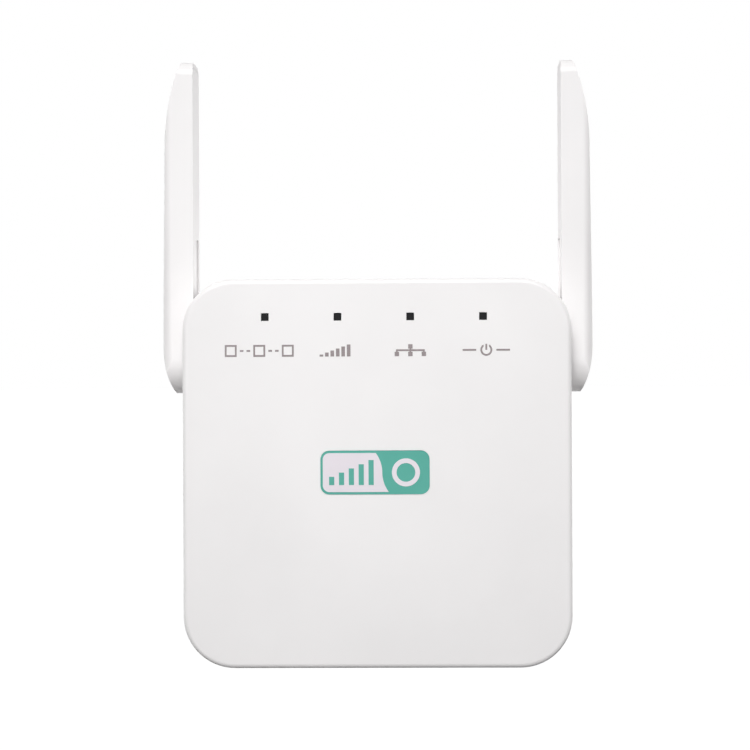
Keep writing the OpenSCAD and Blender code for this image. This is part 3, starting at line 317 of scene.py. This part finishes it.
def solderMask(look):
    # patches of straight tracks that run across or up the board, and bare patches between them
    material, tree, shader, coords = newMaterial("solderMaskGreen", {"IOR": 1.55})
    patch = addNode(tree, "ShaderNodeTexVoronoi",
                    {"Vector": coords, "Scale": 1 / (look["patch"] * mm),
                     "Randomness": look["patchShift"]},
                    feature="F1", distance="CHEBYCHEV")
    chance = addNode(tree, "ShaderNodeSeparateColor", {"Color": patch.outputs["Color"]})
    upright = addNode(tree, "ShaderNodeMath", {0: chance.outputs["Red"], 1: look["acrossShare"]},
                      operation="GREATER_THAN")
    place = addNode(tree, "ShaderNodeSeparateXYZ", {"Vector": coords})
    across = addNode(tree, "ShaderNodeMix",
                     {"Factor": upright.outputs[0], "A": place.outputs["Z"], "B": place.outputs["X"]})
    steps = addNode(tree, "ShaderNodeMath",
                    {0: across.outputs["Result"], 1: look["trackPitch"] * mm}, operation="DIVIDE")
    within = addNode(tree, "ShaderNodeMath", {0: steps.outputs[0]}, operation="FRACT")
    line = addNode(tree, "ShaderNodeMath", {0: within.outputs[0], 1: look["trackShare"]},
                   operation="LESS_THAN")
    laid = addNode(tree, "ShaderNodeMath", {0: chance.outputs["Green"], 1: look["bareShare"]},
                   operation="GREATER_THAN")
    track = addNode(tree, "ShaderNodeMath", {0: line.outputs[0], 1: laid.outputs[0]},
                    operation="MULTIPLY")
    colour = addNode(tree, "ShaderNodeMix",
                     {"Factor": track.outputs[0], "A": mottle(tree, coords, look),
                      "B": linear(look["trackColour"])}, data_type="RGBA")
    tree.links.new(colour.outputs["Result"], shader.inputs["Base Color"])
    surfaceGrain(tree, shader, coords, look)
    return material


greenBoard = solderMask(boardLook)

# Paper-phenolic laminate: tan, with short darker paper fibres.
tanLaminate = grainedFinish(
    "paperPhenolicLaminate",
    {"colour": "#B1925C", "shade": "#A17F49", "blotch": 0.7, "grain": 0.3, "roughness": 0.42,
     "relief": 0.008, "reliefShare": 0.35},
    stretch=(0.3, 1, 1), IOR=1.55)

# Transfer-moulded chip epoxy: charcoal, matte, with silica specks.
chipEpoxy = grainedFinish(
    "mouldedEpoxyCharcoal",
    {"colour": "#242427", "shade": "#2F2F32", "blotch": 0.35, "grain": 0.15, "roughness": 0.55,
     "relief": 0.01, "reliefShare": 0.4},
    IOR=1.55)

# Fired chip capacitors: tan ceramic with a slightly glassy skin.
firedCeramic = grainedFinish(
    "firedCeramicTan",
    {"colour": "#B99B77", "shade": "#A88A67", "blotch": 0.4, "grain": 0.12, "roughness": 0.36,
     "relief": 0.003, "reliefShare": 0.3},
    IOR=1.6)

# Extruded coax jacket: dark grey, satin, with faint drawn lines where it runs along the hinge.
coaxJacket = grainedFinish(
    "extrudedJacketGrey",
    {"colour": "#5A5B5C", "shade": "#505152", "blotch": 1.2, "grain": 0.25, "roughness": 0.42,
     "relief": 0.005, "reliefShare": 0.3},
    stretch=(0.25, 1, 1), IOR=1.45)

# Calendered polypropylene sheet: milky ivory, lets a little light in.
insulationSheet = grainedFinish(
    "calenderedPolypropylene",
    {"colour": "#E6DFC9", "shade": "#DDD5BC", "blotch": 4, "grain": 0.5, "roughness": 0.4,
     "relief": 0.006, "reliefShare": 0.25},
    IOR=1.49, **{"Transmission Weight": 0.15})

# Sintered ferrite: dense, matte grey-black, pitted all over with fine pores.
ferrite = grainedFinish(
    "sinteredFerrite",
    {"colour": "#37383B", "shade": "#2B2C2E", "blotch": 0.5, "grain": 0.12, "roughness": 0.58,
     "relief": 0.02, "reliefShare": 0.5},
    IOR=1.9)

# Wound polyester tape: glossy yellow, with the edge of each turn showing as a line.
woundTape = grainedFinish(
    "woundPolyesterTape",
    {"colour": "#E3B93C", "shade": "#D2A52C", "blotch": 0.9, "grain": 0.4, "roughness": 0.26,
     "relief": 0.02, "reliefShare": 0.5},
    stretch=(0.1, 0.1, 1), IOR=1.64)

# Shrunk PVC sleeve on the capacitors: deep blue-black, glossy, slightly rippled.
shrinkSleeve = grainedFinish(
    "shrunkPvcSleeve",
    {"colour": "#232A3D", "shade": "#1D2333", "blotch": 2, "grain": 0.8, "roughness": 0.24,
     "relief": 0.02, "reliefShare": 0.3},
    IOR=1.53)

# Dipped ceramic disc: bright blue lacquer with an orange-peel skin.
dippedCeramic = grainedFinish(
    "dippedCeramicBlue",
    {"colour": "#3E7BC4", "shade": "#366FB4", "blotch": 1, "grain": 0.5, "roughness": 0.3,
     "relief": 0.03, "reliefShare": 0.4},
    IOR=1.55)

# Lacquered resistor: grey-green, with its colour bands painted round it.
resistorLook = {"colour": "#7FA39B", "shade": "#76998F", "blotch": 0.8, "grain": 0.4,
                "roughness": 0.3, "relief": 0.02, "reliefShare": 0.3,
                "bands": ("#5B4030", "#2A2A2B", "#C9A24A", "#5B4030"), "bandPitch": 1.5,
                "bandWidth": 0.7}


def lacqueredResistor(look):
    # the bands stand evenly about the middle of its length
    material, tree, shader, coords = newMaterial("lacqueredResistor", {"IOR": 1.52})
    surfaceGrain(tree, shader, coords, look)
    low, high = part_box("fuse_resistor")
    place = addNode(tree, "ShaderNodeSeparateXYZ", {"Vector": coords})
    colour = mottle(tree, coords, look)
    middle = (low.x + high.x) / 2
    for i, band in enumerate(look["bands"]):
        at = middle + (i - (len(look["bands"]) - 1) / 2) * look["bandPitch"] * mm
        inBand = addNode(tree, "ShaderNodeMath",
                         {0: place.outputs["X"], 1: at, 2: look["bandWidth"] / 2 * mm},
                         operation="COMPARE")
        colour = addNode(tree, "ShaderNodeMix",
                         {"Factor": inBand.outputs[0], "A": colour, "B": linear(band)},
                         data_type="RGBA").outputs["Result"]
    tree.links.new(colour, shader.inputs["Base Color"])
    return material


resistorLacquer = lacqueredResistor(resistorLook)

slotMaterials = {
    "white_plastic": caseAbs, "smoked_guide": smokedGuide, "black_plastic": blackAbs,
    "led_lens": ledEpoxy, "grey_ink": greyInk, "green_board": greenBoard,
    "tinned_steel": tinnedSteel, "chip_epoxy": chipEpoxy, "tan_ceramic": firedCeramic,
    "grey_plastic": greyNylon, "gold_plate": goldPlate, "nickel_plate": nickelBrass,
    "cable_jacket": coaxJacket, "rubber_ring": siliconeRing, "ivory_sheet": insulationSheet,
    "tan_board": tanLaminate, "ferrite": ferrite, "yellow_tape": woundTape,
    "capacitor_sleeve": shrinkSleeve, "resistor_body": resistorLacquer,
    "blue_ceramic": dippedCeramic, "label_film": labelFilm, **badgeMaterials,
}
for part in record["subparts"]:
    for materialSlot in nodes[part["node"]].material_slots:
        materialSlot.material = slotMaterials[part["material_slot"]]
print("materials: %d finishes on %d nodes" % (len(slotMaterials), len(record["subparts"])))


def newTree(name, sizes):
    # an empty tree with a named input for each size
    tree = bpy.data.node_groups.new(name, "GeometryNodeTree")
    tree.interface.new_socket("Geometry", in_out="INPUT", socket_type="NodeSocketGeometry")
    tree.interface.new_socket("Geometry", in_out="OUTPUT", socket_type="NodeSocketGeometry")
    for size in sizes:
        tree.interface.new_socket(size, in_out="INPUT", socket_type="NodeSocketFloat")
    return tree, addNode(tree, "NodeGroupInput")


def closeTree(tree, geometry, material):
    # real faces with their material, because the export drops instances
    solid = addNode(tree, "GeometryNodeRealizeInstances", {"Geometry": geometry})
    painted = addNode(tree, "GeometryNodeSetMaterial",
                      {"Geometry": solid.outputs[0], "Material": material})
    addNode(tree, "NodeGroupOutput", {"Geometry": painted.outputs[0]})


def madeByNodes(name, tree, sizes, points, turns=None):
    # runs the tree on a set of points, each with its turn, and keeps one plain mesh
    seeds = bpy.data.meshes.new(name + "Points")
    seeds.from_pydata([tuple(p) for p in points], [], [])
    if turns:
        seeds.attributes.new("turn", "FLOAT", "POINT").data.foreach_set("value", turns)
    holder = bpy.data.objects.new(name + "Holder", seeds)
    scene.collection.objects.link(holder)
    modifier = holder.modifiers.new("maker", "NODES")
    modifier.node_group = tree
    for item in tree.interface.items_tree:
        if item.in_out == "INPUT" and item.name in sizes:
            modifier[item.identifier] = sizes[item.name]
    depsgraph = bpy.context.evaluated_depsgraph_get()
    mesh = bpy.data.meshes.new_from_object(holder.evaluated_get(depsgraph))
    mesh.name = name
    joined = bmesh.new()
    joined.from_mesh(mesh)
    bmesh.ops.remove_doubles(joined, verts=joined.verts, dist=meshCare["madeWeld"] * mm)
    bmesh.ops.recalc_face_normals(joined, faces=joined.faces)
    joined.to_mesh(mesh)
    joined.free()
    for face in mesh.polygons:
        face.use_smooth = True
    mesh.set_sharp_from_angle(angle=math.radians(meshCare["sharpDegrees"]))
    piece = bpy.data.objects.new(name, mesh)
    scene.collection.objects.link(piece)
    holder.modifiers.remove(modifier)
    bpy.data.objects.remove(holder)
    return piece


# how finely a screw is made, and how far its head narrows at the top
screwMake = {"headSides": 40, "headRings": 5, "topRings": 3, "crownSteepness": 3.0,
             "crownShare": 0.22, "shankSides": 24, "threadSteps": 20, "threadSides": 3}


def screwTree(name, sizes, material):
    # a pan head with a cross recess over a threaded shank, along +Z, then set on every point
    tree, given = newTree(name, sizes)
    size = given.outputs
    head = addNode(tree, "GeometryNodeMeshCylinder",
                   {"Vertices": screwMake["headSides"], "Side Segments": screwMake["headRings"],
                    "Fill Segments": screwMake["topRings"], "Radius": size["Head Radius"],
                    "Depth": size["Head Height"]})
    half = addNode(tree, "ShaderNodeMath", {0: size["Head Height"], 1: 0.5}, operation="MULTIPLY")
    lift = addNode(tree, "ShaderNodeCombineXYZ", {"Z": half.outputs[0]})
    head = addNode(tree, "GeometryNodeTransform",
                   {"Geometry": head.outputs["Mesh"], "Translation": lift.outputs[0]})
    # the crown: the head narrows towards its top
    where = addNode(tree, "ShaderNodeSeparateXYZ",
                    {"Vector": addNode(tree, "GeometryNodeInputPosition").outputs[0]})
    rise = addNode(tree, "ShaderNodeMath", {0: where.outputs["Z"], 1: size["Head Height"]},
                   operation="DIVIDE")
    steep = addNode(tree, "ShaderNodeMath", {0: rise.outputs[0], 1: screwMake["crownSteepness"]},
                    operation="POWER")
    narrow = addNode(tree, "ShaderNodeMath",
                     {0: steep.outputs[0], 1: -screwMake["crownShare"], 2: 1.0},
                     operation="MULTIPLY_ADD")
    newX = addNode(tree, "ShaderNodeMath", {0: where.outputs["X"], 1: narrow.outputs[0]},
                   operation="MULTIPLY")
    newY = addNode(tree, "ShaderNodeMath", {0: where.outputs["Y"], 1: narrow.outputs[0]},
                   operation="MULTIPLY")
    crown = addNode(tree, "ShaderNodeCombineXYZ",
                    {"X": newX.outputs[0], "Y": newY.outputs[0], "Z": where.outputs["Z"]})
    head = addNode(tree, "GeometryNodeSetPosition",
                   {"Geometry": head.outputs[0], "Position": crown.outputs[0]})
    # the cross recess: two bars sunk into the top
    deep = addNode(tree, "ShaderNodeMath", {0: size["Recess Depth"], 1: 2.0}, operation="MULTIPLY")
    top = addNode(tree, "ShaderNodeCombineXYZ", {"Z": size["Head Height"]})
    slots = []
    for long, wide in (("Recess Span", "Recess Width"), ("Recess Width", "Recess Span")):
        box = addNode(tree, "ShaderNodeCombineXYZ",
                      {"X": size[long], "Y": size[wide], "Z": deep.outputs[0]})
        bar = addNode(tree, "GeometryNodeMeshCube", {"Size": box.outputs[0]})
        slots.append(addNode(tree, "GeometryNodeTransform",
                             {"Geometry": bar.outputs["Mesh"], "Translation": top.outputs[0]}))
    cutHead = addNode(tree, "GeometryNodeMeshBoolean", operation="DIFFERENCE")
    tree.links.new(head.outputs[0], cutHead.inputs["Mesh 1"])
    for bar in slots:
        tree.links.new(bar.outputs[0], cutHead.inputs["Mesh 2"])
    # the shank: a core and a three-sided thread wound round it
    core = addNode(tree, "ShaderNodeMath", {0: size["Shank Radius"], 1: size["Thread Height"]},
                   operation="SUBTRACT")
    shank = addNode(tree, "GeometryNodeMeshCone",
                    {"Vertices": screwMake["shankSides"], "Radius Top": core.outputs[0],
                     "Radius Bottom": core.outputs[0], "Depth": size["Shank Length"]})
    down = addNode(tree, "ShaderNodeMath", {0: size["Shank Length"], 1: -1.0}, operation="MULTIPLY")
    under = addNode(tree, "ShaderNodeCombineXYZ", {"Z": down.outputs[0]})
    shank = addNode(tree, "GeometryNodeTransform",
                    {"Geometry": shank.outputs["Mesh"], "Translation": under.outputs[0]})
    threadLength = addNode(tree, "ShaderNodeMath",
                           {0: size["Shank Length"], 1: size["Thread Pitch"]}, operation="SUBTRACT")
    rounds = addNode(tree, "ShaderNodeMath", {0: threadLength.outputs[0], 1: size["Thread Pitch"]},
                     operation="DIVIDE")
    helix = addNode(tree, "GeometryNodeCurveSpiral",
                    {"Resolution": screwMake["threadSteps"], "Rotations": rounds.outputs[0],
                     "Start Radius": core.outputs[0], "End Radius": core.outputs[0],
                     "Height": threadLength.outputs[0]})
    ridge = addNode(tree, "GeometryNodeCurvePrimitiveCircle",
                    {"Resolution": screwMake["threadSides"], "Radius": size["Thread Height"]})
    thread = addNode(tree, "GeometryNodeCurveToMesh",
                     {"Curve": helix.outputs[0], "Profile Curve": ridge.outputs[0], "Fill Caps": True})
    start = addNode(tree, "ShaderNodeMath", {0: size["Thread Pitch"], 1: 0.5, 2: down.outputs[0]},
                    operation="MULTIPLY_ADD")
    threadAt = addNode(tree, "ShaderNodeCombineXYZ", {"Z": start.outputs[0]})
    thread = addNode(tree, "GeometryNodeTransform",
                     {"Geometry": thread.outputs[0], "Translation": threadAt.outputs[0]})
    screw = addNode(tree, "GeometryNodeJoinGeometry")
    for piece in (cutHead.outputs["Mesh"], shank.outputs[0], thread.outputs[0]):
        tree.links.new(piece, screw.inputs[0])
    turned = addNode(tree, "ShaderNodeCombineXYZ", {"X": size["Tilt"]})
    placed = addNode(tree, "GeometryNodeInstanceOnPoints",
                     {"Points": size["Geometry"], "Instance": screw.outputs[0],
                      "Rotation": turned.outputs[0]})
    closeTree(tree, placed.outputs[0], material)
    return tree


def screwSet(name, node, look, headOut):
    # headOut is +1 where the heads face the wall and -1 where they face the front
    boxes = looseBoxes(node)
    low, high = boxes[0]
    sizes = {
        "Head Radius": (high.x - low.x) / 2, "Head Height": look["headHeight"] * mm,
        "Shank Radius": look["shankRadius"] * mm,
        "Shank Length": high.y - low.y - look["headHeight"] * mm,
        "Recess Width": look["recessWidth"] * mm, "Recess Span": look["recessSpan"] * mm,
        "Recess Depth": look["recessDepth"] * mm, "Thread Pitch": look["threadPitch"] * mm,
        "Thread Height": look["threadHeight"] * mm, "Tilt": -headOut * math.pi / 2,
    }
    tree = screwTree(name + "Tree", sizes, nickelBrass)
    seats = []
    for low, high in boxes:
        headEnd = high.y if headOut > 0 else low.y
        seats.append(((low.x + high.x) / 2, headEnd - headOut * look["headHeight"] * mm,
                      (low.z + high.z) / 2))
    piece = madeByNodes(name, tree, sizes, seats)
    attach(piece, "case")
    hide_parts(node)


caseScrewLook = {"headHeight": 1.6, "shankRadius": 1.05, "recessWidth": 0.5, "recessSpan": 2.1,
                 "recessDepth": 0.8, "threadPitch": 1.0, "threadHeight": 0.2}
boardScrewLook = {"headHeight": 1.2, "shankRadius": 0.9, "recessWidth": 0.4, "recessSpan": 1.7,
                  "recessDepth": 0.6, "threadPitch": 0.8, "threadHeight": 0.17}
screwSet("caseScrewSet", "case_screws", caseScrewLook, 1)
screwSet("boardScrewSet", "board_screws", boardScrewLook, -1)
print("screws: case and board sets")


legLook = {"pitch": 1.27, "width": 0.42, "thickness": 0.18, "reach": 1.1, "rise": 0.7, "tuck": 0.15,
           "bendSteps": 8}


def legTree(name, sizes, material):
    # one gull-wing leg, out along +X and down to the board, then set round each chip
    tree, given = newTree(name, sizes)
    size = given.outputs
    half = addNode(tree, "ShaderNodeMath", {0: size["Leg Reach"], 1: 0.5}, operation="MULTIPLY")
    root = addNode(tree, "ShaderNodeCombineXYZ", {"Z": size["Leg Rise"]})
    shoulder = addNode(tree, "ShaderNodeCombineXYZ", {"X": half.outputs[0], "Z": size["Leg Rise"]})
    heel = addNode(tree, "ShaderNodeCombineXYZ", {"X": half.outputs[0]})
    toe = addNode(tree, "ShaderNodeCombineXYZ", {"X": size["Leg Reach"]})
    path = addNode(tree, "GeometryNodeCurvePrimitiveBezierSegment",
                   {"Resolution": legLook["bendSteps"], "Start": root.outputs[0],
                    "Start Handle": shoulder.outputs[0], "End Handle": heel.outputs[0],
                    "End": toe.outputs[0]})
    section = addNode(tree, "GeometryNodeCurvePrimitiveQuadrilateral",
                      {"Width": size["Leg Width"], "Height": size["Leg Thickness"]})
    leg = addNode(tree, "GeometryNodeCurveToMesh",
                  {"Curve": path.outputs[0], "Profile Curve": section.outputs[0], "Fill Caps": True})
    onFoot = addNode(tree, "ShaderNodeMath", {0: size["Leg Thickness"], 1: 0.5}, operation="MULTIPLY")
    lift = addNode(tree, "ShaderNodeCombineXYZ", {"Z": onFoot.outputs[0]})
    leg = addNode(tree, "GeometryNodeTransform",
                  {"Geometry": leg.outputs[0], "Translation": lift.outputs[0]})
    turn = addNode(tree, "GeometryNodeInputNamedAttribute", {"Name": "turn"}, data_type="FLOAT")
    turned = addNode(tree, "ShaderNodeCombineXYZ", {"X": size["Tilt"], "Y": turn.outputs["Attribute"]})
    placed = addNode(tree, "GeometryNodeInstanceOnPoints",
                     {"Points": size["Geometry"], "Instance": leg.outputs[0],
                      "Rotation": turned.outputs[0]})
    closeTree(tree, placed.outputs[0], material)
    return tree


def legRoots(node, look, sideways):
    # a row of roots on two opposite sides of every chip of the node, at the board's face
    tuck = look["tuck"] * mm
    roots, turns = [], []
    for low, high in looseBoxes(node):
        length = (high.z - low.z) if sideways else (high.x - low.x)
        count = max(2, int((length - look["width"] * mm) / (look["pitch"] * mm)))
        for i in range(count):
            step = (i - (count - 1) / 2) * look["pitch"] * mm
            for side in (-1, 1):
                if sideways:
                    x = high.x - tuck if side > 0 else low.x + tuck
                    z = (low.z + high.z) / 2 + step
                    turns.append(0.0 if side > 0 else math.pi)
                else:
                    x = (low.x + high.x) / 2 + step
                    z = high.z - tuck if side > 0 else low.z + tuck
                    turns.append(-side * math.pi / 2)
                roots.append((x, high.y, z))
    return roots, turns


legSizes = {"Leg Reach": legLook["reach"] * mm, "Leg Rise": legLook["rise"] * mm,
            "Leg Width": legLook["width"] * mm, "Leg Thickness": legLook["thickness"] * mm,
            "Tilt": math.pi / 2}
legMaker = legTree("legMaker", legSizes, tinnedSteel)
allRoots, allTurns = [], []
for chip, sideways in (("memory_chips", True), ("lan_transformer", False), ("driver_chip", True)):
    roots, turns = legRoots(chip, legLook, sideways)
    allRoots += roots
    allTurns += turns
chipLegs = madeByNodes("chipLegs", legMaker, legSizes, allRoots, allTurns)
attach(chipLegs, "case")
print("chip legs: %d" % len(allRoots))


floorLook = {"drop": 60, "half": 20000, "colour": "#747474", "roughness": 0.9, "shine": 0.1,
             "glow": 0.94}


def whereSeen(tree):
    # 1 for rays that look at a surface, straight or by reflection, and 0 for light that spreads
    path = addNode(tree, "ShaderNodeLightPath")
    mirror = addNode(tree, "ShaderNodeMath",
                     {0: path.outputs["Is Camera Ray"], 1: path.outputs["Is Glossy Ray"]},
                     operation="MAXIMUM")
    seen = addNode(tree, "ShaderNodeMath",
                   {0: mirror.outputs[0], 1: path.outputs["Is Transmission Ray"]},
                   operation="MAXIMUM")
    return path, seen.outputs[0]


def makeFloor(look):
    height = cadLow.z - look["drop"] * mm
    corners = [(x * look["half"] * mm, y * look["half"] * mm, height)
               for x, y in ((-1, -1), (1, -1), (1, 1), (-1, 1))]
    mesh = bpy.data.meshes.new("studioFloor")
    mesh.from_pydata(corners, [], [(0, 1, 2, 3)])
    floor = bpy.data.objects.new("studioFloor", mesh)
    scene.collection.objects.link(floor)
    # matt card, lifted to white where it is looked at: it still keeps the shadow
    material, tree, shader, _ = newMaterial(
        "mattCard", {"Base Color": linear(look["colour"]), "Roughness": look["roughness"],
                     "Specular IOR Level": look["shine"]})
    path, seen = whereSeen(tree)
    lift = addNode(tree, "ShaderNodeMath", {0: seen, 1: look["glow"]}, operation="MULTIPLY")
    glow = addNode(tree, "ShaderNodeEmission", {"Color": (1, 1, 1, 1), "Strength": lift.outputs[0]})
    both = addNode(tree, "ShaderNodeAddShader", {0: shader.outputs[0], 1: glow.outputs[0]})
    # seen from below, the card lets the view through to the underside of the piece
    below = addNode(tree, "ShaderNodeNewGeometry")
    through = addNode(tree, "ShaderNodeMath",
                      {0: below.outputs["Backfacing"], 1: path.outputs["Is Camera Ray"]},
                      operation="MULTIPLY")
    clear = addNode(tree, "ShaderNodeBsdfTransparent")
    pick = addNode(tree, "ShaderNodeMixShader",
                   {0: through.outputs[0], 1: both.outputs[0], 2: clear.outputs[0]})
    tree.links.new(pick.outputs[0], tree.get_output_node("ALL").inputs["Surface"])
    mesh.materials.append(material)


makeFloor(floorLook)

worldLook = {"ambient": 0.3}
world = bpy.data.worlds.new("studio")
scene.world = world
world.use_nodes = True
sky = world.node_tree
sky.nodes.clear()
strength = addNode(sky, "ShaderNodeMapRange",
                   {"Value": whereSeen(sky)[1], "To Min": worldLook["ambient"], "To Max": 1.0})
backdrop = addNode(sky, "ShaderNodeBackground",
                   {"Color": (1, 1, 1, 1), "Strength": strength.outputs[0]})
addNode(sky, "ShaderNodeOutputWorld", {"Surface": backdrop.outputs[0]})

# the fills give plain light only: no glare on the sides of the antennas
lamps = {
    "keySoftbox": {"at": (-50, -670, 385), "to": (-5, -35, 32), "size": 300, "spread": 34,
                   "watts": 0.294, "glare": True},
    "leftFill": {"at": (-500, 320, 120), "to": (0, 0, 30), "size": 200, "spread": 34,
                 "watts": 0.1, "glare": False},
    "rightFill": {"at": (500, 320, 120), "to": (0, 0, 30), "size": 200, "spread": 34,
                  "watts": 0.12, "glare": False},
}
for name, look in lamps.items():
    lamp = bpy.data.lights.new(name, "AREA")
    lamp.size = look["size"] * mm
    lamp.spread = math.radians(look["spread"])
    lamp.energy = look["watts"]
    lampObject = bpy.data.objects.new(name, lamp)
    scene.collection.objects.link(lampObject)
    lampObject.visible_glossy = look["glare"]
    lampObject.location = Vector(look["at"]) * mm
    towards = Vector(look["to"]) * mm - lampObject.location
    lampObject.rotation_euler = towards.to_track_quat("-Z", "Y").to_euler()
print("floor, world and %d lamps" % len(lamps))

scene.view_settings.view_transform = "Standard"
